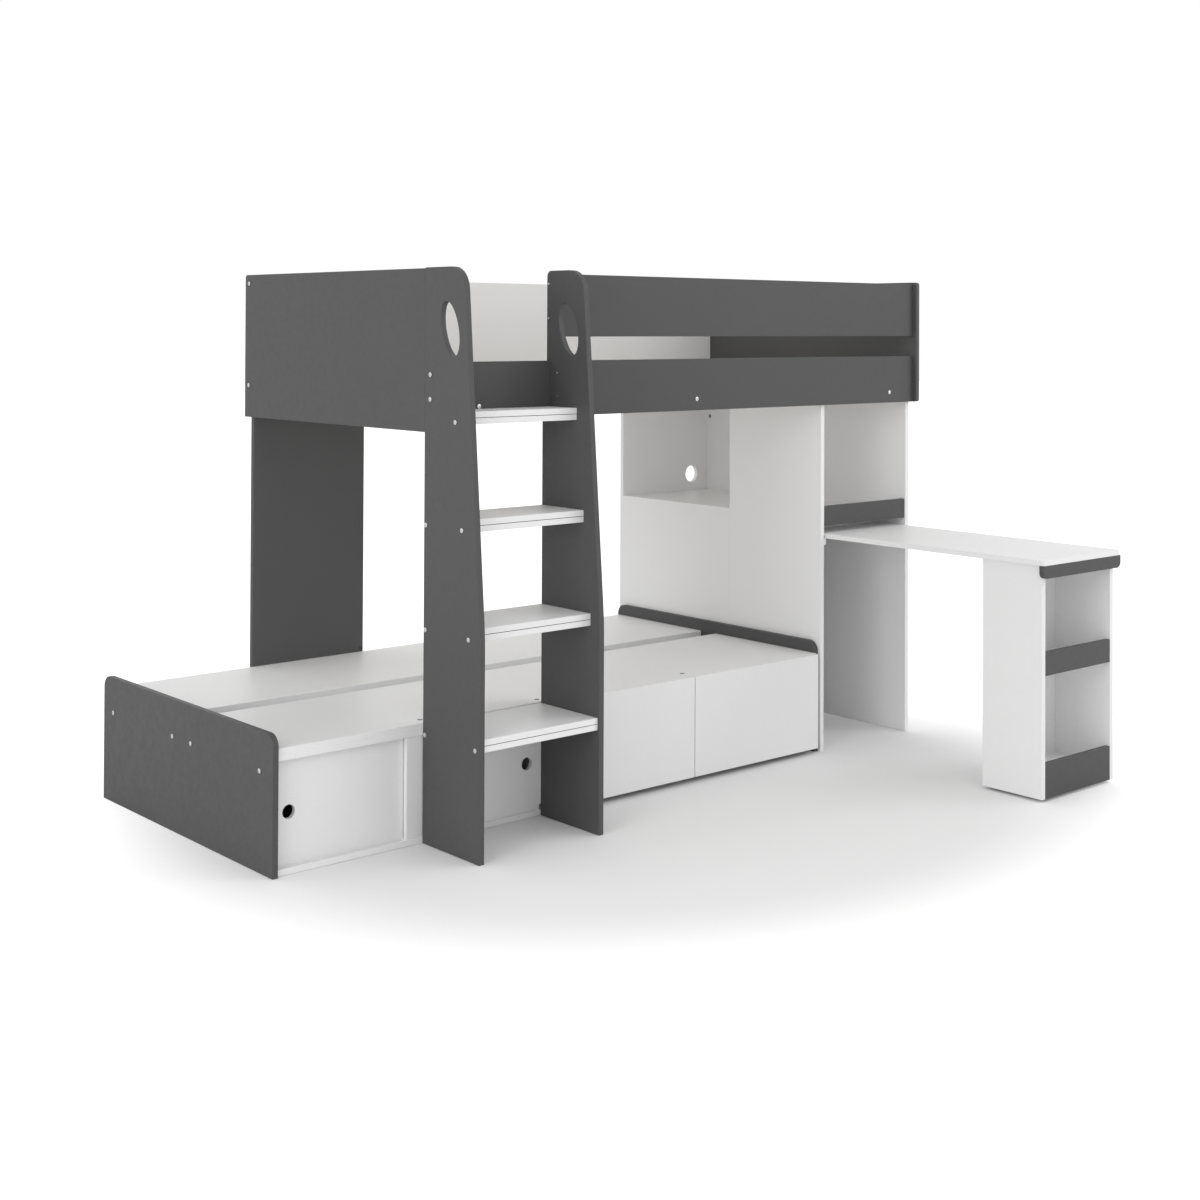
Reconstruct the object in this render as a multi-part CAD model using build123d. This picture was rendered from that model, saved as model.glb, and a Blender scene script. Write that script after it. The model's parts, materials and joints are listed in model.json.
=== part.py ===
"""Bunk bed with storage, a fixed tower and a pull-out desk.

Millimetres, +Z up, floor at Z 0. The stations below are worked out in a working frame whose
X 0 is the outer face of the upper bed's left end and whose Y grows towards the wall.
The last step moves every piece so that the origin is the middle of the footprint, on the floor.
"""
import os
from build123d import *

# Boards
board = 16.0             # end, side, rail and carcass boards
top_board = 15.0         # platform and desk tops
door_board = 12.0        # sliding doors
box_board = 12.0         # drawer sides and backs
thin_board = 6.0         # drawer bottoms
arris = 0.8              # edging rounded over along each board's faces

# Whole bed
inner_length = 1907.0    # between the upper bed's end panels
lower_inner_length = 1902.0
inner_width = 931.0      # from the upper front rail to the back panel
back_plane = 1004.0      # rear faces of the upper bed, leg board and tower
foot_reach = 440.0       # how far the lower bed stands out to the left of the upper one

# Upper bed
panel_top = 1472.0
left_panel_height = 421.0
rail_drop = 391.0        # rails' lower edge below the end panels' top
side_rail_height = 150.0
guard_rail_drop = 6.0    # its top below the end panels' top
guard_rail_height = 170.0
right_panel_lap = 15.0   # right end panel in front of the rails
panel_radius = 9.0
bearer_rise = 17.0       # above the rails' lower edge
bearer_height = 32.0
bearer_depth = 30.0
slat_count = 14
slat_width = 68.0
slat_thickness = 14.0
slat_side_gap = 44.0     # end panel to the first slat
slat_play = 0.3
leg_board_width = 388.0
leg_board_inset = 6.0    # from the left end panel

# Ladder
ladder_gap = 372.0       # between the uprights
upright_rise = 2.0       # above the end panels
upright_foot = -167.0    # front edge at the floor
upright_knee = 556.0     # height where the front edge starts to lean back
upright_crown = -93.0    # front edge carried up to the top
knee_radius = 900.0
crown_radius = 62.0
crown_back_radius = 16.0
tread_pitch = 268.0
lowest_tread = 304.0
tread_layer = 16.0
lowest_tread_front = -160.0
tread_step_back = 30.0
tread_count = 4
hole_drop = 157.0        # hand hole's middle below the uprights' top
hole_front = -34.0
hole_long = 72.6
hole_short = 35.2
hole_tilt = 17.5

# Lower bed
lower_front = 75.0       # front plane of the lower bed
end_board_front = 67.0
end_board_back = 995.0
end_board_top = 343.0
end_board_radius = 32.0
platform_top = 307.0
front_platform_back = 505.0
rear_platform_front = 574.0
storage_back = 489.0     # rear face of the board behind doors and drawers
rail_90 = 90.0           # height of the platform's long rails
rear_rail_back = 942.0

# Sliding doors
door_width = 434.0
door_hole = 17.5
door_hole_inset = 44.0
door_hole_height = 145.0
track_depth = 46.0
track_lip = 4.0
groove_play = 0.5
groove_wall = 3.0
bottom_groove = 5.0
top_groove = 9.0
door_lift = 5.0
door_end_gap = 0.5
running_gap = 0.3

# Drawers
drawer_joint = 939.0     # line between the two drawer fronts
drawer_set_back = 3.0    # back of the fronts behind the upper rail's back
front_joint = 3.0
drawer_front_bottom = 16.0
drawer_front_drop = 0.5
drawer_stop_gap = 0.5
drawer_side_height = 190.0
drawer_side_bottom = 40.0
drawer_depth = 400.0
drawer_bottom_rise = 10.0
runner_width = 12.5
runner_height = 35.0
runner_length = 385.0
runner_wall = 1.5
runner_rise = 60.0
runner_set_back = 1.0
left_front_gap = 2.5
end_front_gap = 8.0
toe_depth = 60.0         # drawer partitions set back at the floor, behind the fronts
toe_height = 30.0

# Tower
divider_joint = 459.0
shelf_top = 725.0
lipping_front = 61.0
lipping_bottom = 700.0
lipping_height = 62.0
cable_hole = 30.0
cable_hole_inset = 94.0  # from the upper bed's right end panel
cable_hole_height = 785.0

# Pull-out desk
desk_front = -748.0
desk_top = 677.0
desk_length = 930.0
desk_side_gap = 7.5
desk_corner = 8.0
apron_height = 36.0
apron_radius = 16.0
batten_width = 14.0
batten_height = 20.0
cabinet_side_gap = 8.0   # cabinet to the battens
cabinet_depth = 202.0
cabinet_foot = 8.0
base_shelf_top = 53.0
mid_shelf_top = 367.0
mid_bar_bottom = 351.0
mid_bar_height = 66.0
base_bar_height = 98.0
wheel_radius = 14.0
wheel_width = 14.0
axle_radius = 2.0
axle_play = 0.1
wheel_side_play = 0.4
castor_inset = 30.0
housing_wall = 1.5
housing_plate = 34.0
housing_cheek = 16.0

# Fasteners
bolt_radius = 3.0
bolt_play = 0.2
head_radius = 6.5
head_height = 2.0
head_taper = 1.5
bolt_length = 45.0
screw_length = 34.0
bolt_end_gap = 1.0
block_size = 30.0
block_play = 8.0         # bolt line in front of the back panel
rail_block_depth = 38.0
rail_block_bolt = 27.5   # bolt line in front of the side rail
guard_bolt_low = 49.0    # bolt heights above the guard rail's lower edge
guard_bolt_high = 142.0
side_bolt_low = 55.0     # and above the side rail's
side_bolt_high = 118.0
block_top_gap = 26.0     # upper corner bolts below the end panels' top
tread_bolt_rise = 6.0    # above a tread's underside
tread_bolt_inset = 10.0  # from its front and back edges
entry_screw_inset = 132.0   # rail screws: from the left end panel,
first_screw_inset = 533.0   # from the right upright
last_screw_inset = 119.0    # and from the right end panel

# Stations along the bed
left_in = board
upright_left = board + ladder_gap
upright_right = upright_left + board
right_in = board + inner_length
right_out = right_in + board
foot_out = -foot_reach
foot_in = foot_out + board
head_in = foot_in + lower_inner_length
head_out = head_in + board
divider_right = head_out + board
leg_left = right_in - board
cable_hole_x = right_in - cable_hole_inset
rail_screws = (("entry_rail", left_in + entry_screw_inset),
               ("side_rail", upright_right + first_screw_inset),
               ("side_rail", right_in - last_screw_inset))

# Stations from front to back
back_face = back_plane - board
rail_back = back_face - inner_width
rail_front = rail_back - board
right_panel_front = rail_front - right_panel_lap
drawer_back_face = rail_back + drawer_set_back
drawer_front_face = drawer_back_face - board
carcass_front = drawer_back_face + drawer_stop_gap
storage_face = storage_back - board

# Heights
left_panel_bottom = panel_top - left_panel_height
rail_bottom = panel_top - rail_drop
bearer_bottom = rail_bottom + bearer_rise
guard_rail_bottom = panel_top - guard_rail_drop - guard_rail_height
upright_top = panel_top + upright_rise
hole_height = upright_top - hole_drop
platform_under = platform_top - top_board
bearer_top = bearer_bottom + bearer_height
desk_under = desk_top - top_board

# Desk stations
desk_left = divider_right + desk_side_gap
desk_right = leg_left - desk_side_gap
cabinet_left = divider_right + batten_width + cabinet_side_gap
cabinet_right = leg_left - batten_width - cabinet_side_gap
cabinet_front = desk_front + board
cabinet_back = cabinet_front + cabinet_depth
bar_back = cabinet_front + board
inner_back = cabinet_back - board

x_low = foot_out - head_height
x_high = right_out + head_height
origin = Vector((x_low + x_high) / 2, (desk_front + back_plane) / 2, 0)

parts = {}
fasteners = []


def eased(solid, axis):
    """Round the edging over along the two faces that are square to the axis."""
    faces = solid.faces().filter_by(axis).sort_by(axis)
    return chamfer(faces[0].edges() + faces[-1].edges(), arris)


def panel(x, y, z):
    """A board between two stations on each axis, eased along its two broad faces."""
    sizes = (x[1] - x[0], y[1] - y[0], z[1] - z[0])
    middle = Pos((x[0] + x[1]) / 2, (y[0] + y[1]) / 2, (z[0] + z[1]) / 2)
    thin = min(range(3), key=lambda i: sizes[i])
    return eased(middle * Box(*sizes), (Axis.X, Axis.Y, Axis.Z)[thin])


def upright_board(x, outline, cuts=()):
    """A board standing in the YZ plane, from a face drawn in Y and Z."""
    face = outline
    for cut in cuts:
        face -= cut
    return eased(Pos(x, 0, 0) * extrude(Plane.YZ * face, board), Axis.X)


def corner_face(points, radii):
    """A closed outline whose corners have their own radii, where 0 leaves one sharp."""
    face = make_face(Polyline(*points, close=True))
    for point, radius in zip(points, radii):
        if radius > 0:
            vertex = face.vertices().sort_by_distance((point[0], point[1], 0))[0]
            face = fillet(vertex, radius)
    return face


def rectangle_points(y0, y1, z0, z1):
    return [(y0, z0), (y1, z0), (y1, z1), (y0, z1)]


def fix(nodes, point, heading, length=bolt_length):
    """Put one bolt in, head at the point, and drill the named pieces for it."""
    place = Plane(origin=point, z_dir=heading)
    shank = Pos(0, 0, length / 2) * Cylinder(bolt_radius, length)
    head = Pos(0, 0, -head_height / 2) * Cone(head_radius - head_taper, head_radius, head_height)
    fasteners.append(place * (shank + head))
    drill = length + bolt_end_gap
    hole = place * Pos(0, 0, drill / 2) * Cylinder(bolt_radius + bolt_play, drill)
    for node in nodes:
        parts[node] = [piece - hole for piece in parts[node]]


def build_upper_bed():
    left = rectangle_points(lower_front, back_plane, left_panel_bottom, panel_top)
    parts["left_end_panel"] = [upright_board(0, corner_face(left, (0, 0, panel_radius, 0)))]
    right = rectangle_points(right_panel_front, back_plane, rail_bottom, panel_top)
    radii = (panel_radius, 0, panel_radius, panel_radius)
    parts["right_end_panel"] = [upright_board(right_in, corner_face(right, radii))]

    side_rail_z = (rail_bottom, rail_bottom + side_rail_height)
    guard_rail_z = (guard_rail_bottom, guard_rail_bottom + guard_rail_height)
    rail_y = (rail_front, rail_back)
    parts["guard_rail"] = [panel((upright_right, right_in), rail_y, guard_rail_z)]
    parts["side_rail"] = [panel((upright_right, right_in), rail_y, side_rail_z)]
    parts["entry_rail"] = [panel((left_in, upright_left), rail_y, side_rail_z)]
    back_z = (rail_bottom, guard_rail_z[1])
    parts["back_panel"] = [panel((left_in, right_in), (back_face, back_plane), back_z)]
    leg_x = (left_in + leg_board_inset, left_in + leg_board_inset + leg_board_width)
    parts["rear_leg_board"] = [panel(leg_x, (back_face, back_plane), (0, rail_bottom))]

    bearer_z = (bearer_bottom, bearer_top)
    parts["slat_bearers"] = [
        panel((left_in, right_in), (rail_back, rail_back + bearer_depth), bearer_z),
        panel((left_in, right_in), (back_face - bearer_depth, back_face), bearer_z),
    ]
    first = left_in + slat_side_gap
    pitch = (inner_length - 2 * slat_side_gap - slat_width) / (slat_count - 1)
    slat_y = (rail_back + slat_play, back_face - slat_play)
    slat_z = (bearer_top, bearer_top + slat_thickness)
    parts["bed_slats"] = [
        panel((first + i * pitch, first + i * pitch + slat_width), slat_y, slat_z)
        for i in range(slat_count)
    ]


def build_ladder():
    hole = Pos(hole_front, hole_height) * Rot(0, 0, -hole_tilt) * Ellipse(hole_short, hole_long)
    front = [
        (upright_crown, upright_top), (upright_foot, upright_knee), (upright_foot, 0),
    ]
    front_radii = (crown_radius, knee_radius, 0)
    left = corner_face([(lower_front, 0), (lower_front, upright_top)] + front,
                       (0, panel_radius / 3) + front_radii)
    right = corner_face(
        [(lower_front, 0), (lower_front, rail_bottom), (rail_back, rail_bottom),
         (rail_back, upright_top)] + front,
        (0, 0, 0, crown_back_radius) + front_radii)
    parts["left_upright"] = [upright_board(0, left, [hole])]
    parts["right_upright"] = [upright_board(upright_left, right, [hole])]
    for i in range(tread_count):
        top = lowest_tread + i * tread_pitch
        back = rail_front if i == tread_count - 1 else lower_front
        tread_y = (lowest_tread_front + i * tread_step_back, back)
        parts[f"tread_{i + 1}"] = [
            panel((left_in, upright_left), tread_y, (top - layer * tread_layer - tread_layer,
                                                     top - layer * tread_layer))
            for layer in range(2)
        ]


def build_lower_bed():
    ends = rectangle_points(end_board_front, end_board_back, 0, end_board_top)
    radii = (0, 0, end_board_radius, end_board_radius)
    parts["footboard"] = [upright_board(foot_out, corner_face(ends, radii))]
    parts["headboard"] = [upright_board(head_in, corner_face(ends, radii))]

    top_z = (platform_under, platform_top)
    nose_left = upright_right + left_front_gap
    outline = [
        (foot_in, lower_front), (nose_left, lower_front), (nose_left, carcass_front),
        (head_in, carcass_front), (head_in, front_platform_back), (foot_in, front_platform_back),
    ]
    cover = extrude(make_face(Polyline(*outline, close=True)), top_board)
    parts["front_platform"] = [eased(Pos(0, 0, platform_under) * cover, Axis.Z)]
    parts["rear_platform"] = [panel((foot_in, head_in), (rear_platform_front, back_face), top_z)]
    parts["storage_back_board"] = [
        panel((foot_in, head_in), (storage_face, storage_back), (0, platform_under))]

    rail_z = (platform_under - rail_90, platform_under)
    rail_fronts = (rear_platform_front, rear_rail_back - board)
    parts["platform_rails"] = [
        panel((foot_in, head_in), (y, y + board), rail_z) for y in rail_fronts]
    stretcher_y = (lower_front + track_depth, lower_front + track_depth + board)
    parts["door_stretcher"] = [panel((foot_in, upright_left), stretcher_y, rail_z)]

    carriers = (upright_left, drawer_joint - board / 2, head_in - board)
    parts["drawer_partitions"] = [
        panel((x, x + board), (lower_front if i == 0 else carcass_front, storage_face),
              (0, platform_under)) - toe_cut(x + board / 2)
        for i, x in enumerate(carriers)
    ]
    support_y = (rear_platform_front + board, rear_rail_back - board)
    parts["platform_supports"] = [
        panel((x, x + board), support_y, (0, platform_under)) for x in carriers]
    middle = (foot_in + upright_left) / 2
    parts["cupboard_partition"] = [
        panel((middle - board / 2, middle + board / 2), (stretcher_y[1], storage_face),
              (board, platform_under))]


def toe_cut(x):
    """The recess at a partition's front lower corner, so none shows under the fronts."""
    corner = Pos(x, carcass_front, 0)
    return corner * Box(2 * board, 2 * toe_depth, 2 * toe_height)


def groove_fronts():
    """Front faces of the two door grooves, nearest the front first."""
    front = lower_front + track_lip
    width = door_board + 2 * groove_play
    return front, front + width + groove_wall


def build_doors():
    width = door_board + 2 * groove_play
    span = (foot_in, upright_left)
    length = span[1] - span[0]
    middle = (span[0] + span[1]) / 2
    base = panel(span, (lower_front, storage_face), (0, board))
    track_z = (platform_under - board, platform_under)
    track = panel(span, (lower_front, lower_front + track_depth), track_z)
    for y in groove_fronts():
        base -= Pos(middle, y + width / 2, board) * Box(length, width, 2 * bottom_groove)
        track -= Pos(middle, y + width / 2, track_z[0]) * Box(length, width, 2 * top_groove)
    parts["cupboard_floor"] = [base]
    parts["door_track"] = [track]

    door_z = (board - bottom_groove + running_gap, track_z[0] + top_groove - door_lift)
    front_track, back_track = (y + groove_play for y in groove_fronts())
    left = (span[0] + door_end_gap, span[0] + door_end_gap + door_width)
    right = (span[1] - door_end_gap - door_width, span[1] - door_end_gap)
    for name, x, y, hole_x in (
            ("left_door", left, back_track, left[0] + door_hole_inset),
            ("right_door", right, front_track, right[1] - door_hole_inset)):
        leaf = panel(x, (y, y + door_board), door_z)
        hole = Cylinder(door_hole, 3 * door_board, rotation=(90, 0, 0))
        parts[name] = [leaf - Pos(hole_x, y, door_hole_height) * hole]


def channel(x_web, inward, width, height, y0, z0):
    """A thin runner channel along Y whose web stands at x_web and opens inwards."""
    depth = inward * width
    wall = inward * runner_wall
    outline = Polyline(
        (x_web, z0), (x_web + depth, z0), (x_web + depth, z0 + runner_wall),
        (x_web + wall, z0 + runner_wall), (x_web + wall, z0 + height - runner_wall),
        (x_web + depth, z0 + height - runner_wall), (x_web + depth, z0 + height),
        (x_web, z0 + height), close=True)
    face = Plane.XZ * make_face(outline)
    return Pos(0, y0 + runner_length, 0) * extrude(face, runner_length)


def build_drawers():
    runner_front = lower_front + runner_set_back
    partitions = (upright_right, drawer_joint - board / 2,
                  drawer_joint + board / 2, head_in - board)
    bays = (
        ("left_drawer", partitions[0], partitions[1],
         (upright_right + left_front_gap, drawer_joint - front_joint / 2)),
        ("right_drawer", partitions[2], partitions[3],
         (drawer_joint + front_joint / 2, head_in - end_front_gap)),
    )
    fixed = []
    for name, x0, x1, front_x in bays:
        box_x = (x0 + runner_width, x1 - runner_width)
        side_z = (drawer_side_bottom, drawer_side_bottom + drawer_side_height)
        box_y = (drawer_back_face, drawer_back_face + drawer_depth)
        inner_x = (box_x[0] + box_board, box_x[1] - box_board)
        parts[f"{name}_front"] = [panel(front_x, (drawer_front_face, drawer_back_face),
                                        (drawer_front_bottom, platform_top - drawer_front_drop))]
        parts[f"{name}_sides"] = [
            panel((x, x + box_board), box_y, side_z) for x in (box_x[0], inner_x[1])]
        parts[f"{name}_back"] = [
            panel(inner_x, (box_y[1] - box_board, box_y[1]), side_z)]
        floor_z = side_z[0] + drawer_bottom_rise
        parts[f"{name}_bottom"] = [
            panel(inner_x, (box_y[0], box_y[1] - box_board), (floor_z, floor_z + thin_board))]
        channel_height = runner_height - 2 * runner_wall - 2 * running_gap
        channel_z = runner_rise + runner_wall + running_gap
        channel_width = runner_width - runner_wall - running_gap
        parts[f"{name}_runners"] = [
            channel(x, side, channel_width, channel_height, runner_front, channel_z)
            for x, side in ((box_x[0], -1), (box_x[1], 1))]
        fixed += [channel(x, side, runner_width - running_gap, runner_height, runner_front,
                          runner_rise) for x, side in ((x0, 1), (x1, -1))]
    parts["carcass_runners"] = fixed


def build_tower():
    divider_x = (head_out, divider_right)
    parts["divider_panel"] = [panel(divider_x, (rail_back, divider_joint), (0, bearer_bottom))]
    parts["divider_lower_panel"] = [
        panel(divider_x, (divider_joint, back_face), (0, shelf_top))]
    parts["tower_leg_panel"] = [
        panel((leg_left, right_in), (rail_back, back_face), (0, bearer_bottom))]
    rear = panel((head_out, right_in), (back_face, back_plane), (0, rail_bottom))
    hole = Cylinder(cable_hole, 3 * board, rotation=(90, 0, 0))
    parts["tower_back_panel"] = [rear - Pos(cable_hole_x, back_face, cable_hole_height) * hole]
    bay = (divider_right, leg_left)
    lipping_back = lipping_front + board
    parts["fixed_shelf"] = [panel(bay, (lipping_back, back_face), (shelf_top - board, shelf_top))]
    parts["shelf_lipping"] = [panel(bay, (lipping_front, lipping_back),
                                    (lipping_bottom, lipping_bottom + lipping_height))]
    batten_z = (desk_under - running_gap - batten_height, desk_under - running_gap)
    parts["desk_battens"] = [
        panel((x, x + batten_width), (lipping_front, back_face), batten_z)
        for x in (divider_right, leg_left - batten_width)]


def build_castors():
    wheel_x = (cabinet_left + board + castor_inset, cabinet_right - board - castor_inset)
    wheel_y = (bar_back + housing_plate / 2, inner_back - housing_plate / 2)
    plate_top = base_shelf_top - top_board
    gap = wheel_width / 2 + wheel_side_play
    housings = []
    for x in wheel_x:
        for y in wheel_y:
            plate = Pos(x, y, plate_top - housing_wall / 2) * Box(
                2 * (gap + housing_wall), housing_plate, housing_wall)
            cheek_height = plate_top - wheel_radius + housing_cheek / 2
            cheek_z = plate_top - cheek_height / 2
            for side in (-1, 1):
                plate += Pos(x + side * (gap + housing_wall / 2), y, cheek_z) * Box(
                    housing_wall, housing_cheek, cheek_height)
            axle_length = 2 * (gap + 2 * housing_wall)
            plate += Pos(x, y, wheel_radius) * Cylinder(axle_radius, axle_length,
                                                        rotation=(0, 90, 0))
            housings.append(plate)
    parts["castor_housings"] = housings
    for name, y in (("front_castor_wheels", wheel_y[0]), ("rear_castor_wheels", wheel_y[1])):
        tyre = Cylinder(wheel_radius, wheel_width) - Cylinder(axle_radius + axle_play, wheel_width)
        parts[name] = [Pos(x, y, wheel_radius) * Rot(0, 90, 0) * tyre for x in wheel_x]


def build_desk():
    top = corner_face(
        rectangle_points(desk_left, desk_right, desk_front, desk_front + desk_length),
        (desk_corner, desk_corner, 0, 0))
    parts["desktop"] = [eased(Pos(0, 0, desk_under) * extrude(top, top_board), Axis.Z)]
    apron = corner_face(
        rectangle_points(desk_left, desk_right, desk_under - apron_height, desk_under),
        (apron_radius, apron_radius, 0, 0))
    front = extrude(Plane.XZ * apron, board)
    parts["desk_apron"] = [eased(Pos(0, desk_front + board, 0) * front, Axis.Y)]

    side_y = (cabinet_front, cabinet_back)
    parts["cabinet_sides"] = [
        panel((x, x + board), side_y, (cabinet_foot, desk_under))
        for x in (cabinet_left, cabinet_right - board)]
    inner_x = (cabinet_left + board, cabinet_right - board)
    parts["cabinet_back"] = [
        panel(inner_x, (inner_back, cabinet_back), (cabinet_foot, desk_under))]
    shelf_y = (bar_back, inner_back)
    parts["cabinet_base_shelf"] = [
        panel(inner_x, shelf_y, (base_shelf_top - top_board, base_shelf_top))]
    parts["cabinet_mid_shelf"] = [
        panel(inner_x, shelf_y, (mid_shelf_top - top_board, mid_shelf_top))]
    bar_y = (cabinet_front, bar_back)
    parts["cabinet_mid_bar"] = [
        panel(inner_x, bar_y, (mid_bar_bottom, mid_bar_bottom + mid_bar_height))]
    parts["cabinet_base_bar"] = [
        panel(inner_x, bar_y, (cabinet_foot, cabinet_foot + base_bar_height))]
    build_castors()


def build_fasteners():
    right = Vector(1, 0, 0)
    left = Vector(-1, 0, 0)
    back = Vector(0, 1, 0)
    rail_line = (rail_front + rail_back) / 2
    guard_z = (guard_rail_bottom + guard_bolt_low, guard_rail_bottom + guard_bolt_high)
    side_z = (rail_bottom + side_bolt_low, rail_bottom + side_bolt_high)
    block_y = back_face - block_play
    block_z = (bearer_top + block_size / 2, panel_top - block_top_gap)

    blocks = []
    for x in (left_in, right_in - block_size):
        for z in block_z:
            blocks.append(panel((x, x + block_size), (back_face - block_size, back_face),
                                (z - block_size / 2, z + block_size / 2)))
    blocks.append(panel((upright_right, upright_right + block_size),
                        (rail_front - rail_block_depth, rail_front),
                        (side_z[0] - block_size / 2, side_z[1] + block_size / 2)))
    parts["corner_blocks"] = blocks

    for z in block_z:
        fix(("left_end_panel", "corner_blocks"), (0, block_y, z), right, screw_length)
        fix(("right_end_panel", "corner_blocks"), (right_out, block_y, z), left, screw_length)
    for z in side_z:
        fix(("left_upright", "entry_rail"), (0, rail_line, z), right)
        fix(("right_upright", "corner_blocks"),
            (upright_left, rail_front - rail_block_bolt, z), right, screw_length)
        fix(("right_end_panel", "side_rail"), (right_out, rail_line, z), left)
    for z in guard_z:
        fix(("right_upright", "guard_rail"), (upright_left, rail_line, z), right)
        fix(("right_end_panel", "guard_rail"), (right_out, rail_line, z), left)

    for i in range(tread_count):
        node = f"tread_{i + 1}"
        z = lowest_tread + i * tread_pitch - 2 * tread_layer + tread_bolt_rise
        lines = [lowest_tread_front + i * tread_step_back + tread_bolt_inset]
        if i < tread_count - 1:
            lines.append(lower_front - tread_bolt_inset)
        for y in lines:
            fix(("left_upright", node), (0, y, z), right)
            fix(("right_upright", node), (upright_right, y, z), left)

    rail_z = platform_under - rail_90 / 2
    for node, y in (("door_stretcher", lower_front + track_depth + board / 2),
                    ("storage_back_board", storage_face + board / 2),
                    ("platform_rails", rear_platform_front + board / 2),
                    ("platform_rails", rear_rail_back - board / 2)):
        fix(("footboard", node), (foot_out, y, rail_z), right)
    bearer_z = bearer_bottom + bearer_height / 2
    for node, x in rail_screws:
        fix((node, "slat_bearers"), (x, rail_front, bearer_z), back, screw_length)
    parts["frame_bolts"] = fasteners


def main():
    build_upper_bed()
    build_ladder()
    build_lower_bed()
    build_doors()
    build_drawers()
    build_tower()
    build_desk()
    build_fasteners()
    os.makedirs("parts", exist_ok=True)
    for name, solids in parts.items():
        moved = [Pos(-origin.X, -origin.Y, 0) * solid for solid in solids]
        shape = moved[0] if len(moved) == 1 else Compound(children=moved)
        export_step(shape, f"parts/{name}.step")
    print(len(parts), "nodes", "origin", origin)


main()
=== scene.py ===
import json
from math import pi, radians

import bpy
from mathutils import Matrix, Vector


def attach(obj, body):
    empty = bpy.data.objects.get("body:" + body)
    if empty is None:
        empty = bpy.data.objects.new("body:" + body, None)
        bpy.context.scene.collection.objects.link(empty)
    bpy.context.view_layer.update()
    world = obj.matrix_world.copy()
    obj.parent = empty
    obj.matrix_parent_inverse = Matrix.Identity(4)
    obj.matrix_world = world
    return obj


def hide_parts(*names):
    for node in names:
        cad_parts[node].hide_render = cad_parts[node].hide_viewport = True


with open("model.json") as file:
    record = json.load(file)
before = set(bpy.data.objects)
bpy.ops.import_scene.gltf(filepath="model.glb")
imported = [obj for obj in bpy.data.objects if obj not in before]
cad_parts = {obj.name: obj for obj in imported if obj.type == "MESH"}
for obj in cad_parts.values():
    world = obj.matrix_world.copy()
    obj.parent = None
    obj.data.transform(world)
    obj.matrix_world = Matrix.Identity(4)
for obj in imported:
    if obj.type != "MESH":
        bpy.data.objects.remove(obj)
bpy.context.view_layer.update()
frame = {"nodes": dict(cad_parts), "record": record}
print("bed frame loaded,", len(frame["nodes"]), "nodes")


# small helpers for working in edit mode
def clearPick():
    bpy.ops.object.select_all(action="DESELECT")


def openMesh(piece):
    clearPick()
    piece.select_set(True)
    bpy.context.view_layer.objects.active = piece
    bpy.ops.object.mode_set(mode="EDIT")


def closeMesh():
    bpy.ops.object.mode_set(mode="OBJECT")


def pickFaces(piece, test):
    # faces are picked by their centre and normal, in edit mode
    bpy.ops.mesh.select_all(action="DESELECT")
    bpy.ops.object.mode_set(mode="OBJECT")
    for face in piece.data.polygons:
        face.select = test(face.center, face.normal)
    bpy.ops.object.mode_set(mode="EDIT")
    bpy.ops.mesh.select_mode(type="FACE")


leastUp = 0.9  # a face looks up when its normal's z is more than this


def facesUp(centre, normal):
    return normal.z > leastUp


def settle(piece):
    # place and turn go into the mesh, so the object sits at the origin
    clearPick()
    piece.select_set(True)
    bpy.context.view_layer.objects.active = piece
    bpy.ops.object.transform_apply(location=True, rotation=True, scale=True)


def useModifier(piece, kind, **values):
    clearPick()
    piece.select_set(True)
    bpy.context.view_layer.objects.active = piece
    change = piece.modifiers.new(kind.lower(), kind)
    for key, value in values.items():
        setattr(change, key, value)
    bpy.ops.object.modifier_apply(modifier=change.name)


def copyTo(piece, place, facing, size=1.0):
    # the model's +Z is turned to face that way
    twin = piece.copy()
    twin.data = piece.data.copy()
    bpy.context.collection.objects.link(twin)
    turn = Vector((0, 0, 1)).rotation_difference(Vector(facing)).to_matrix().to_4x4()
    twin.matrix_world = Matrix.Translation(place) @ turn @ Matrix.Scale(size, 4)
    return twin


def joinAll(pieces, name):
    clearPick()
    for piece in pieces:
        piece.select_set(True)
    bpy.context.view_layer.objects.active = pieces[0]
    bpy.ops.object.join()
    joined = bpy.context.view_layer.objects.active
    joined.name = joined.data.name = name
    settle(joined)
    return joined


# shader groups shared by several finishes
def newGroup(name, inputs, outputs):
    group = bpy.data.node_groups.new(name, "ShaderNodeTree")
    for label, kind, value in inputs:
        socket = group.interface.new_socket(name=label, in_out="INPUT", socket_type=kind)
        socket.default_value = value
    for label, kind in outputs:
        group.interface.new_socket(name=label, in_out="OUTPUT", socket_type=kind)
    return group, group.nodes.new("NodeGroupInput"), group.nodes.new("NodeGroupOutput")


def addNode(tree, kind, **values):
    node = tree.nodes.new(kind)
    for key, value in values.items():
        setattr(node, key, value)
    return node


def addRange(tree, source, span):
    # what the source gives between the two ends of span is spread over 0 to 1
    spread = addNode(tree, "ShaderNodeMapRange")
    spread.inputs["From Min"].default_value = span[0]
    spread.inputs["From Max"].default_value = span[1]
    tree.links.new(source, spread.inputs["Value"])
    return spread


pressed = {"driftDetail": 3, "driftRough": 0.55, "driftSpan": (0.3, 0.7), "poreDetail": 2,
           "poreSpan": (0.35, 0.65), "fleck": (0.97, 1.03), "rippleScale": 55,
           "rippleDetail": 4, "rippleSpan": (0.35, 0.65), "rippleShare": 0.5}


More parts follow.
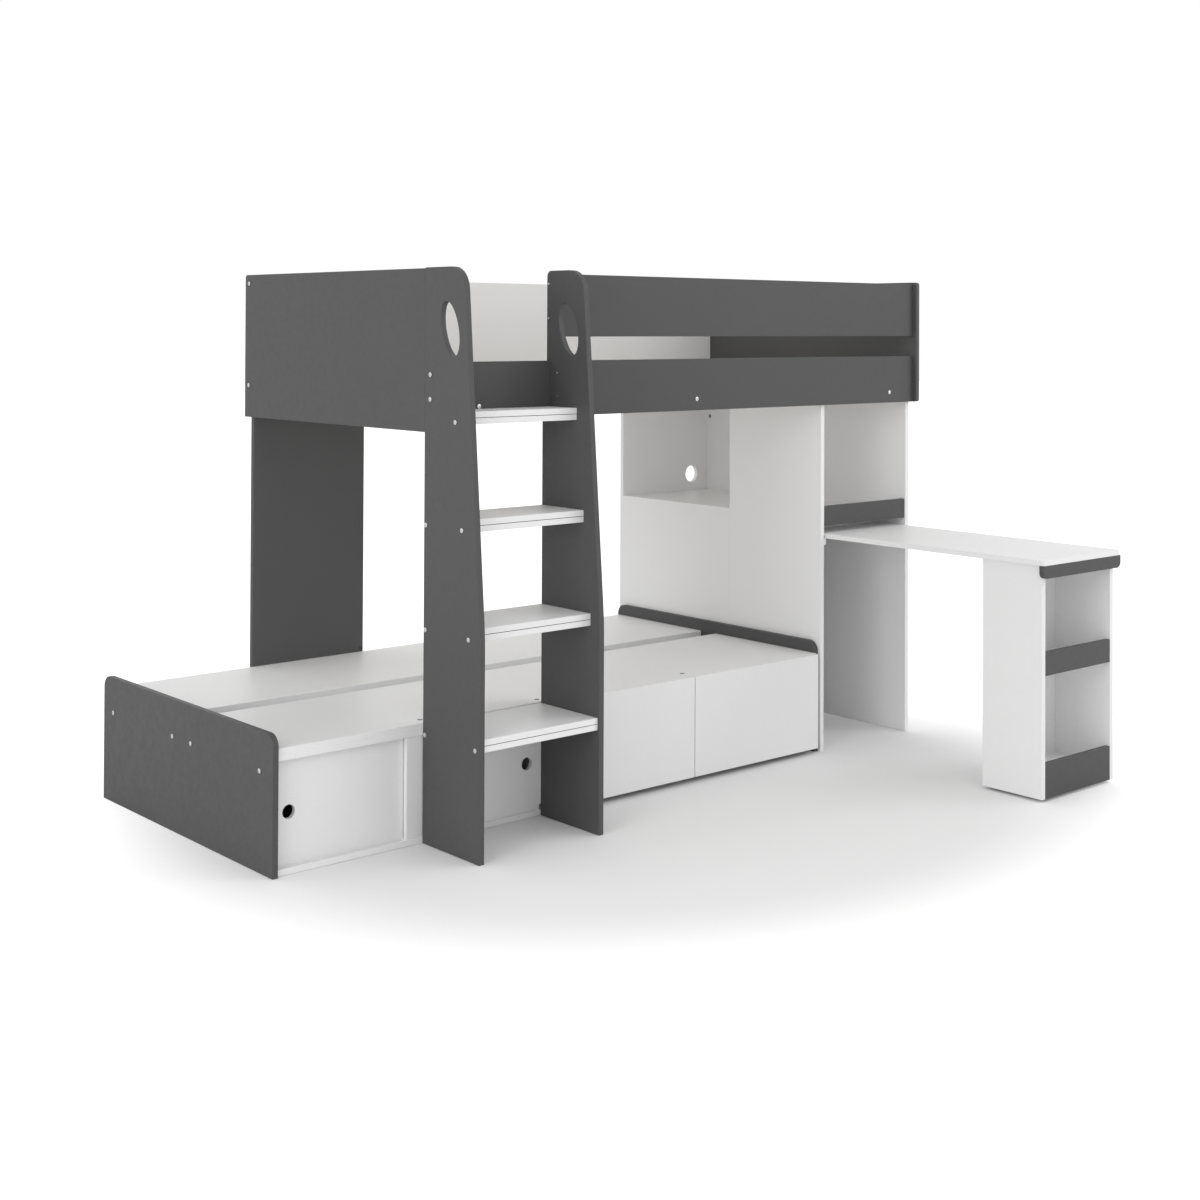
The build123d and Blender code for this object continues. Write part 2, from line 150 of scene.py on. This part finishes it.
def buildPressedFace():
    # the pressed texture of melamine: slow drift in tone, fine pores, a faint satin ripple
    tree, given, result = newGroup(
        "pressedFace",
        [("Vector", "NodeSocketVector", (0, 0, 0)), ("Pale", "NodeSocketColor", (0.8, 0.8, 0.8, 1)),
         ("Deep", "NodeSocketColor", (0.7, 0.7, 0.7, 1)), ("Drift Scale", "NodeSocketFloat", 1.6),
         ("Pore Scale", "NodeSocketFloat", 900.0), ("Pore Depth", "NodeSocketFloat", 0.3),
         ("Sheen Low", "NodeSocketFloat", 0.4), ("Sheen High", "NodeSocketFloat", 0.55)],
        [("Color", "NodeSocketColor"), ("Roughness", "NodeSocketFloat"),
         ("Height", "NodeSocketFloat")])
    link = tree.links.new
    drift = addNode(tree, "ShaderNodeTexNoise")
    drift.inputs["Detail"].default_value = pressed["driftDetail"]
    drift.inputs["Roughness"].default_value = pressed["driftRough"]
    pores = addNode(tree, "ShaderNodeTexNoise")
    pores.inputs["Detail"].default_value = pressed["poreDetail"]
    ripple = addNode(tree, "ShaderNodeTexNoise")
    ripple.inputs["Scale"].default_value = pressed["rippleScale"]
    ripple.inputs["Detail"].default_value = pressed["rippleDetail"]
    for texture in (drift, pores, ripple):
        link(given.outputs["Vector"], texture.inputs["Vector"])
    link(given.outputs["Drift Scale"], drift.inputs["Scale"])
    link(given.outputs["Pore Scale"], pores.inputs["Scale"])
    tone = addNode(tree, "ShaderNodeMix", data_type="RGBA")
    spread = addRange(tree, drift.outputs["Fac"], pressed["driftSpan"])
    link(spread.outputs["Result"], tone.inputs["Factor"])
    link(given.outputs["Deep"], tone.inputs[6])
    link(given.outputs["Pale"], tone.inputs[7])
    speck = addRange(tree, pores.outputs["Fac"], pressed["poreSpan"])
    speck.inputs["To Min"].default_value = pressed["fleck"][0]
    speck.inputs["To Max"].default_value = pressed["fleck"][1]
    flecked = addNode(tree, "ShaderNodeVectorMath", operation="SCALE")
    link(tone.outputs[2], flecked.inputs["Vector"])
    link(speck.outputs["Result"], flecked.inputs["Scale"])
    link(flecked.outputs["Vector"], result.inputs["Color"])
    sheen = addRange(tree, ripple.outputs["Fac"], pressed["rippleSpan"])
    link(given.outputs["Sheen Low"], sheen.inputs["To Min"])
    link(given.outputs["Sheen High"], sheen.inputs["To Max"])
    link(sheen.outputs["Result"], result.inputs["Roughness"])
    depth = addNode(tree, "ShaderNodeMath", operation="MULTIPLY")
    link(pores.outputs["Fac"], depth.inputs[0])
    link(given.outputs["Pore Depth"], depth.inputs[1])
    wave = addNode(tree, "ShaderNodeMath", operation="MULTIPLY_ADD")
    link(ripple.outputs["Fac"], wave.inputs[0])
    wave.inputs[1].default_value = pressed["rippleShare"]
    link(depth.outputs["Value"], wave.inputs[2])
    link(wave.outputs["Value"], result.inputs["Height"])
    return tree


scuffs = {"detail": 6, "rough": 0.7, "warp": 1.4, "span": (0.62, 0.74)}


def buildScuffs():
    # sparse light rubs, as on boards that have been handled in packing
    tree, given, result = newGroup(
        "handlingScuffs",
        [("Vector", "NodeSocketVector", (0, 0, 0)), ("Color", "NodeSocketColor", (0.5, 0.5, 0.5, 1)),
         ("Rub Color", "NodeSocketColor", (0.6, 0.6, 0.6, 1)), ("Scale", "NodeSocketFloat", 3.0),
         ("Amount", "NodeSocketFloat", 0.1)],
        [("Color", "NodeSocketColor")])
    link = tree.links.new
    rubs = addNode(tree, "ShaderNodeTexNoise")
    rubs.inputs["Detail"].default_value = scuffs["detail"]
    rubs.inputs["Roughness"].default_value = scuffs["rough"]
    rubs.inputs["Distortion"].default_value = scuffs["warp"]
    link(given.outputs["Vector"], rubs.inputs["Vector"])
    link(given.outputs["Scale"], rubs.inputs["Scale"])
    cut = addRange(tree, rubs.outputs["Fac"], scuffs["span"])
    mask = addNode(tree, "ShaderNodeMath", operation="MULTIPLY")
    link(cut.outputs["Result"], mask.inputs[0])
    link(given.outputs["Amount"], mask.inputs[1])
    mixed = addNode(tree, "ShaderNodeMix", data_type="RGBA")
    link(mask.outputs["Value"], mixed.inputs["Factor"])
    link(given.outputs["Color"], mixed.inputs[6])
    link(given.outputs["Rub Color"], mixed.inputs[7])
    link(mixed.outputs[2], result.inputs["Color"])
    return tree


pressedFace = buildPressedFace()
handlingScuffs = buildScuffs()


# finishes
relief = {"board": 0.0002, "pine": 0.0003}  # how deep the bump of each surface goes


def startFinish(name):
    finish = bpy.data.materials.new(name)
    finish.use_nodes = True
    tree = finish.node_tree
    shader = tree.nodes["Principled BSDF"]
    place = addNode(tree, "ShaderNodeTexCoord")
    return finish, tree, shader, place.outputs["Object"]


def boardFinish(name, look):
    finish, tree, shader, place = startFinish(name)
    link = tree.links.new
    face = addNode(tree, "ShaderNodeGroup", node_tree=pressedFace)
    face.inputs["Pale"].default_value = (*look["pale"], 1)
    face.inputs["Deep"].default_value = (*look["deep"], 1)
    face.inputs["Drift Scale"].default_value = look["driftScale"]
    face.inputs["Pore Scale"].default_value = look["poreScale"]
    face.inputs["Pore Depth"].default_value = look["poreDepth"]
    face.inputs["Sheen Low"].default_value = look["sheen"][0]
    face.inputs["Sheen High"].default_value = look["sheen"][1]
    link(place, face.inputs["Vector"])
    rubs = addNode(tree, "ShaderNodeGroup", node_tree=handlingScuffs)
    rubs.inputs["Rub Color"].default_value = (*look["rub"], 1)
    rubs.inputs["Amount"].default_value = look["rubAmount"]
    link(place, rubs.inputs["Vector"])
    link(face.outputs["Color"], rubs.inputs["Color"])
    link(rubs.outputs["Color"], shader.inputs["Base Color"])
    link(face.outputs["Roughness"], shader.inputs["Roughness"])
    bump = addNode(tree, "ShaderNodeBump")
    bump.inputs["Strength"].default_value = look["bump"]
    bump.inputs["Distance"].default_value = relief["board"]
    link(face.outputs["Height"], bump.inputs["Height"])
    link(bump.outputs["Normal"], shader.inputs["Normal"])
    shader.inputs["Specular IOR Level"].default_value = look["gloss"]
    return finish


greyBoard = boardFinish("graphiteMelamine", {
    "pale": (0.088, 0.088, 0.089), "deep": (0.082, 0.082, 0.083), "driftScale": 1.3,
    "poreScale": 700, "poreDepth": 0.5, "sheen": (0.42, 0.52), "rub": (0.13, 0.13, 0.13),
    "rubAmount": 0.05, "bump": 0.35, "gloss": 0.25})
whiteBoard = boardFinish("whiteMelamine", {
    "pale": (0.87, 0.87, 0.87), "deep": (0.85, 0.85, 0.85), "driftScale": 1.3,
    "poreScale": 700, "poreDepth": 0.5, "sheen": (0.38, 0.48), "rub": (0.78, 0.78, 0.78),
    "rubAmount": 0.05, "bump": 0.3, "gloss": 0.4})
thinBoard = boardFinish("paintedHardboard", {
    "pale": (0.74, 0.74, 0.73), "deep": (0.69, 0.69, 0.68), "driftScale": 4,
    "poreScale": 320, "poreDepth": 1.0, "sheen": (0.55, 0.7), "rub": (0.6, 0.6, 0.6),
    "rubAmount": 0.08, "bump": 0.6, "gloss": 0.3})


def pineFinish(look):
    finish, tree, shader, place = startFinish("planedPine")
    link = tree.links.new
    along = addNode(tree, "ShaderNodeMapping")
    along.inputs["Scale"].default_value = look["stretch"]
    link(place, along.inputs["Vector"])
    rings = addNode(tree, "ShaderNodeTexWave", wave_type="BANDS", bands_direction="X")
    rings.inputs["Scale"].default_value = look["ringScale"]
    rings.inputs["Distortion"].default_value = look["ringWarp"]
    rings.inputs["Detail"].default_value = look["ringDetail"]
    rings.inputs["Detail Scale"].default_value = look["ringDetailScale"]
    link(along.outputs["Vector"], rings.inputs["Vector"])
    fibres = addNode(tree, "ShaderNodeTexNoise")
    fibres.inputs["Scale"].default_value = look["fibreScale"]
    fibres.inputs["Detail"].default_value = look["fibreDetail"]
    link(along.outputs["Vector"], fibres.inputs["Vector"])
    blend = addNode(tree, "ShaderNodeMath", operation="MULTIPLY_ADD")
    link(fibres.outputs["Fac"], blend.inputs[0])
    blend.inputs[1].default_value = look["fibreShare"]
    link(rings.outputs["Fac"], blend.inputs[2])
    ramp = addNode(tree, "ShaderNodeValToRGB")
    ramp.color_ramp.elements[0].position = look["summerEnd"]
    ramp.color_ramp.elements[0].color = (*look["summer"], 1)
    ramp.color_ramp.elements[1].color = (*look["spring"], 1)
    link(blend.outputs["Value"], ramp.inputs["Fac"])
    link(ramp.outputs["Color"], shader.inputs["Base Color"])
    bump = addNode(tree, "ShaderNodeBump")
    bump.inputs["Strength"].default_value = look["bump"]
    bump.inputs["Distance"].default_value = relief["pine"]
    link(fibres.outputs["Fac"], bump.inputs["Height"])
    link(bump.outputs["Normal"], shader.inputs["Normal"])
    shader.inputs["Roughness"].default_value = look["roughness"]
    return finish


pine = pineFinish({
    "stretch": (14.0, 1.0, 14.0), "ringScale": 2.2, "ringWarp": 7, "ringDetail": 3,
    "ringDetailScale": 1.5, "fibreScale": 22.0, "fibreDetail": 5, "fibreShare": 0.4,
    "summerEnd": 0.25, "summer": (0.61, 0.54, 0.44), "spring": (0.75, 0.70, 0.61),
    "bump": 0.4, "roughness": 0.55})


def metalFinish(name, look):
    finish, tree, shader, place = startFinish(name)
    link = tree.links.new
    cloud = addNode(tree, "ShaderNodeTexNoise")
    cloud.inputs["Scale"].default_value = look["cloudScale"]
    cloud.inputs["Detail"].default_value = look["cloudDetail"]
    link(place, cloud.inputs["Vector"])
    tone = addNode(tree, "ShaderNodeMix", data_type="RGBA")
    tone.inputs[6].default_value = (*look["deep"], 1)
    tone.inputs[7].default_value = (*look["pale"], 1)
    link(cloud.outputs["Fac"], tone.inputs["Factor"])
    link(tone.outputs[2], shader.inputs["Base Color"])
    rough = addNode(tree, "ShaderNodeMapRange")
    rough.inputs["To Min"].default_value = look["roughness"][0]
    rough.inputs["To Max"].default_value = look["roughness"][1]
    link(cloud.outputs["Fac"], rough.inputs["Value"])
    link(rough.outputs["Result"], shader.inputs["Roughness"])
    shader.inputs["Metallic"].default_value = look["metallic"]
    return finish


zincSteel = metalFinish("zincPlatedSteel", {
    "cloudScale": 160, "cloudDetail": 4, "pale": (0.80, 0.80, 0.81), "deep": (0.64, 0.64, 0.66),
    "roughness": (0.22, 0.4), "metallic": 1.0})
castorTyre = metalFinish("castorTyre", {
    "cloudScale": 90, "cloudDetail": 4, "pale": (0.045, 0.045, 0.047), "deep": (0.03, 0.03, 0.031),
    "roughness": (0.5, 0.65), "metallic": 0.0})
# a near-black finish: the cam discs' own dark colour, and painted shade where it covers the tread
# seam strips
darkCapsAndSeamShade = metalFinish("darkCamsAndSeamShade", {
    "cloudScale": 120, "cloudDetail": 4, "pale": (0.05, 0.05, 0.05), "deep": (0.03, 0.03, 0.03),
    "roughness": (0.6, 0.8), "metallic": 0.0})

finishOf = {"grey_board": greyBoard, "white_board": whiteBoard, "plain_board": thinBoard,
            "pine": pine, "steel": zincSteel, "castor_tyre": castorTyre}
slotOf = {part["node"]: part["material_slot"] for part in frame["record"]["subparts"]}
for name, node in frame["nodes"].items():
    finish = finishOf[slotOf[name]]
    if not node.material_slots:
        node.data.materials.append(finish)
    for slot in node.material_slots:
        slot.material = finish
print("finishes on", len(frame["nodes"]), "CAD nodes")


# socket-head bolts, one modelled and copied to every place
bolt = {"radius": 0.0062, "rise": 0.0021, "crown": 0.0009, "socketReach": 0.0026,
        "socketDepth": 0.0014, "socketSides": 6, "sides": 28, "outerRing": 0.3, "outerLift": 0.6,
        "innerRing": 0.2, "innerLift": 0.3, "edge": 0.0003, "edgeSteps": 2, "edgeAngle": 50}
boltPlaces = {
    (-1, 0, 0): [  # heads that face the foot of the bed
        (-0.7495, [(0.852, 1.145), (0.852, 1.446), (-0.079, 1.136), (-0.079, 1.199),
                   (-0.278, 0.278), (-0.248, 0.546), (-0.218, 0.814), (-0.188, 1.082),
                   (-0.063, 0.278), (-0.063, 0.546), (-0.063, 0.814)]),
        (-0.3615, [(-0.079, 1.345), (-0.079, 1.438), (-0.1145, 1.136), (-0.1145, 1.199)]),
        (-1.1895, [(0.001, 0.247), (0.353, 0.247), (0.454, 0.247), (0.806, 0.247)])],
    (1, 0, 0): [  # heads that face the tower end
        (-0.3455, [(-0.278, 0.278), (-0.248, 0.546), (-0.218, 0.814), (-0.188, 1.082),
                   (-0.063, 0.278), (-0.063, 0.546), (-0.063, 0.814)]),
        (1.1895, [(0.852, 1.145), (0.852, 1.446), (-0.079, 1.136), (-0.079, 1.199),
                  (-0.079, 1.345), (-0.079, 1.438)])]}
innerHeads = {"station": -0.3615, "size": 0.5}  # small heads on the right upright's inner face
railScrews = [(-0.6015, -0.087, 1.114), (0.1875, -0.087, 1.114), (1.0545, -0.087, 1.114)]


def modelBolt():
    bpy.ops.mesh.primitive_cylinder_add(
        vertices=bolt["sides"], radius=bolt["radius"], depth=bolt["rise"] * 2)
    head = bpy.context.active_object
    openMesh(head)
    pickFaces(head, facesUp)
    bpy.ops.mesh.inset(thickness=bolt["radius"] * bolt["outerRing"])
    bpy.ops.transform.translate(value=(0, 0, bolt["crown"] * bolt["outerLift"]))
    bpy.ops.mesh.inset(thickness=bolt["radius"] * bolt["innerRing"])
    bpy.ops.transform.translate(value=(0, 0, bolt["crown"] * bolt["innerLift"]))
    closeMesh()
    bpy.ops.mesh.primitive_cylinder_add(
        vertices=bolt["socketSides"], radius=bolt["socketReach"], depth=bolt["socketDepth"] * 2,
        location=(0, 0, bolt["rise"] + bolt["crown"]))
    key = bpy.context.active_object
    useModifier(head, "BOOLEAN", object=key, operation="DIFFERENCE", solver="EXACT")
    bpy.data.objects.remove(key)
    useModifier(head, "BEVEL", width=bolt["edge"], segments=bolt["edgeSteps"],
                limit_method="ANGLE", angle_limit=radians(bolt["edgeAngle"]))
    return head


def placeBolts():
    head = modelBolt()
    heads = []
    for facing, rows in boltPlaces.items():
        for x, places in rows:
            size = innerHeads["size"] if x == innerHeads["station"] else 1.0
            heads += [copyTo(head, (x, y, z), facing, size) for y, z in places]
    heads += [copyTo(head, place, (0, -1, 0)) for place in railScrews]
    bpy.data.objects.remove(head)
    joined = joinAll(heads, "frameBoltHeads")
    joined.data.materials.clear()
    joined.data.materials.append(zincSteel)
    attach(joined, "frame")
    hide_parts("frame_bolts")


placeBolts()
print("bolts modelled")


# cam fittings that show on the platform and in the tower
cam = {"radius": 0.0065, "rise": 0.0004, "sides": 24, "rim": 0.22, "dish": 0.6,
       "slotLength": 1.2, "slotWidth": 0.0016, "slotDepth": 0.001}
camPlaces = [((-0.7355, -0.019, 0.307), (0, 0, 1)), ((-0.3535, -0.025, 0.307), (0, 0, 1)),
             ((0.1905, -0.027, 0.307), (0, 0, 1)), ((1.1575, 0.8435, 0.994), (-1, 0, 0)),
             ((-0.3465, 0.860, 0.318), (0, -1, 0))]


def modelCam():
    bpy.ops.mesh.primitive_cylinder_add(
        vertices=cam["sides"], radius=cam["radius"], depth=cam["rise"] * 2)
    disc = bpy.context.active_object
    openMesh(disc)
    pickFaces(disc, facesUp)
    bpy.ops.mesh.inset(thickness=cam["radius"] * cam["rim"])
    bpy.ops.transform.translate(value=(0, 0, -cam["rise"] * cam["dish"]))
    closeMesh()
    for turn in (0, pi / 2):
        bpy.ops.mesh.primitive_cube_add(
            size=1, location=(0, 0, cam["rise"]), rotation=(0, 0, turn),
            scale=(cam["radius"] * cam["slotLength"], cam["slotWidth"], cam["slotDepth"]))
        cutter = bpy.context.active_object
        useModifier(disc, "BOOLEAN", object=cutter, operation="DIFFERENCE", solver="EXACT")
        bpy.data.objects.remove(cutter)
    return disc


def placeCams():
    disc = modelCam()
    fittings = [copyTo(disc, place, facing) for place, facing in camPlaces]
    bpy.data.objects.remove(disc)
    joined = joinAll(fittings, "camFittings")
    joined.data.materials.clear()
    joined.data.materials.append(darkCapsAndSeamShade)
    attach(joined, "frame")


placeCams()
print("cam fittings modelled")


# painted shade: a thin near-black strip along each tread's front edge stands for the shade in the
# joint between its two layers
seam = {"middle": -0.5475, "length": 0.370, "thickness": 0.0013, "depth": 0.0008, "proud": 0.0002,
        "front": -0.288, "stepBack": 0.030, "height": 0.288, "pitch": 0.268, "count": 4}


def placeSeamShade():
    strips = []
    for step in range(seam["count"]):
        front = seam["front"] + step * seam["stepBack"]
        bpy.ops.mesh.primitive_cube_add(
            size=1, scale=(seam["length"], seam["depth"], seam["thickness"]),
            location=(seam["middle"], front + seam["depth"] / 2 - seam["proud"],
                      seam["height"] + step * seam["pitch"]))
        strips.append(bpy.context.active_object)
    joined = joinAll(strips, "treadSeamShade")
    # the near-black finish on these strips is painted shade in the tread joints
    joined.data.materials.append(darkCapsAndSeamShade)
    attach(joined, "frame")


placeSeamShade()
print("tread seams modelled")


# camera as solved from the photograph: nearly level, and shifted down where it would tilt
eye = {"place": (-3.28004, -3.66843, 1.32698), "yaw": 40.828, "pitch": 0.651, "roll": 0.249,
       "lens": 51.287, "sensor": 36, "shiftUp": -0.24507}
bpy.ops.object.camera_add()
camera = bpy.context.active_object
camera.data.lens = eye["lens"]
camera.data.sensor_width = eye["sensor"]
camera.data.shift_y = eye["shiftUp"]
camera.matrix_world = (Matrix.Translation(eye["place"])
                       @ Matrix.Rotation(-radians(eye["yaw"]), 4, "Z")
                       @ Matrix.Rotation(pi / 2 + radians(eye["pitch"]), 4, "X")
                       @ Matrix.Rotation(radians(eye["roll"]), 4, "Z"))
bpy.context.scene.camera = camera
print("camera set")

# studio: pale floor, even room light and two large soft lamps
studio = {"room": 0.88, "floorSize": 60, "floorDrop": 0.0006, "floorTone": 0.88,
          "farLift": 0.5, "paperCentre": (0.0, -0.15, 0), "paperReach": (1.6, 1.25, 1.0),
          "fadeFrom": 0.62, "fadeTo": 1.15}


def buildRoom():
    room = bpy.data.worlds.new("softRoom")
    bpy.context.scene.world = room
    room.use_nodes = True
    tree = room.node_tree
    tree.nodes.clear()
    path = addNode(tree, "ShaderNodeLightPath")
    seen = addNode(tree, "ShaderNodeMath", operation="MAXIMUM")
    tree.links.new(path.outputs["Is Camera Ray"], seen.inputs[0])
    tree.links.new(path.outputs["Is Transmission Ray"], seen.inputs[1])
    shown = addNode(tree, "ShaderNodeMath", operation="MAXIMUM")
    tree.links.new(seen.outputs["Value"], shown.inputs[0])
    tree.links.new(path.outputs["Is Glossy Ray"], shown.inputs[1])
    dim = addNode(tree, "ShaderNodeBackground")
    dim.inputs["Color"].default_value = (1, 1, 1, 1)
    dim.inputs["Strength"].default_value = studio["room"]
    white = addNode(tree, "ShaderNodeBackground")
    white.inputs["Color"].default_value = (1, 1, 1, 1)
    white.inputs["Strength"].default_value = 1
    choose = addNode(tree, "ShaderNodeMixShader")
    out = addNode(tree, "ShaderNodeOutputWorld")
    tree.links.new(shown.outputs["Value"], choose.inputs["Fac"])
    tree.links.new(dim.outputs["Background"], choose.inputs[1])
    tree.links.new(white.outputs["Background"], choose.inputs[2])
    tree.links.new(choose.outputs["Shader"], out.inputs["Surface"])


def buildFloor():
    bpy.ops.mesh.primitive_plane_add(
        size=studio["floorSize"], location=(0, 0, -studio["floorDrop"]))
    floor = bpy.context.active_object
    floor.name = "studioFloor"
    finish = bpy.data.materials.new("studioPaper")
    finish.use_nodes = True
    tree = finish.node_tree
    tree.nodes.clear()
    matt = addNode(tree, "ShaderNodeBsdfDiffuse")
    matt.inputs["Color"].default_value = (studio["floorTone"],) * 3 + (1,)
    place = addNode(tree, "ShaderNodeTexCoord")
    around = addNode(tree, "ShaderNodeMapping", vector_type="TEXTURE")
    around.inputs["Location"].default_value = studio["paperCentre"]
    around.inputs["Scale"].default_value = studio["paperReach"]
    reach = addNode(tree, "ShaderNodeVectorMath", operation="LENGTH")
    fade = addNode(tree, "ShaderNodeMapRange", interpolation_type="SMOOTHSTEP")
    fade.inputs["From Min"].default_value = studio["fadeFrom"]
    fade.inputs["From Max"].default_value = studio["fadeTo"]
    fade.inputs["To Max"].default_value = studio["farLift"]
    path = addNode(tree, "ShaderNodeLightPath")
    lift = addNode(tree, "ShaderNodeMath", operation="MULTIPLY")
    glow = addNode(tree, "ShaderNodeEmission")
    both = addNode(tree, "ShaderNodeAddShader")
    out = addNode(tree, "ShaderNodeOutputMaterial")
    tree.links.new(place.outputs["Object"], around.inputs["Vector"])
    tree.links.new(around.outputs["Vector"], reach.inputs[0])
    tree.links.new(reach.outputs["Value"], fade.inputs["Value"])
    tree.links.new(fade.outputs["Result"], lift.inputs[0])
    tree.links.new(path.outputs["Is Camera Ray"], lift.inputs[1])
    tree.links.new(lift.outputs["Value"], glow.inputs["Strength"])
    tree.links.new(matt.outputs["BSDF"], both.inputs[0])
    tree.links.new(glow.outputs["Emission"], both.inputs[1])
    tree.links.new(both.outputs["Shader"], out.inputs["Surface"])
    floor.data.materials.append(finish)


lamps = {
    "leftPanel": {"place": (-5.6, -1.9, 1.9), "aim": (0.3, 0, 0.6), "size": (2.4, 2.4), "power": 60},
    "rightPanel": {"place": (4.6, -4.0, 3.2), "aim": (0.3, 0, 0.6), "size": (3.0, 3.0), "power": 56},
}


def buildLamps():
    for name, lamp in lamps.items():
        light = bpy.data.lights.new(name, "AREA")
        light.shape = "RECTANGLE"
        light.size, light.size_y = lamp["size"]
        light.energy = lamp["power"]
        holder = bpy.data.objects.new(name, light)
        bpy.context.collection.objects.link(holder)
        holder.location = lamp["place"]
        gaze = Vector(lamp["aim"]) - Vector(lamp["place"])
        holder.rotation_euler = gaze.to_track_quat("-Z", "Y").to_euler()


buildRoom()
buildFloor()
buildLamps()
bpy.context.scene.view_settings.view_transform = "Standard"
print("studio set")
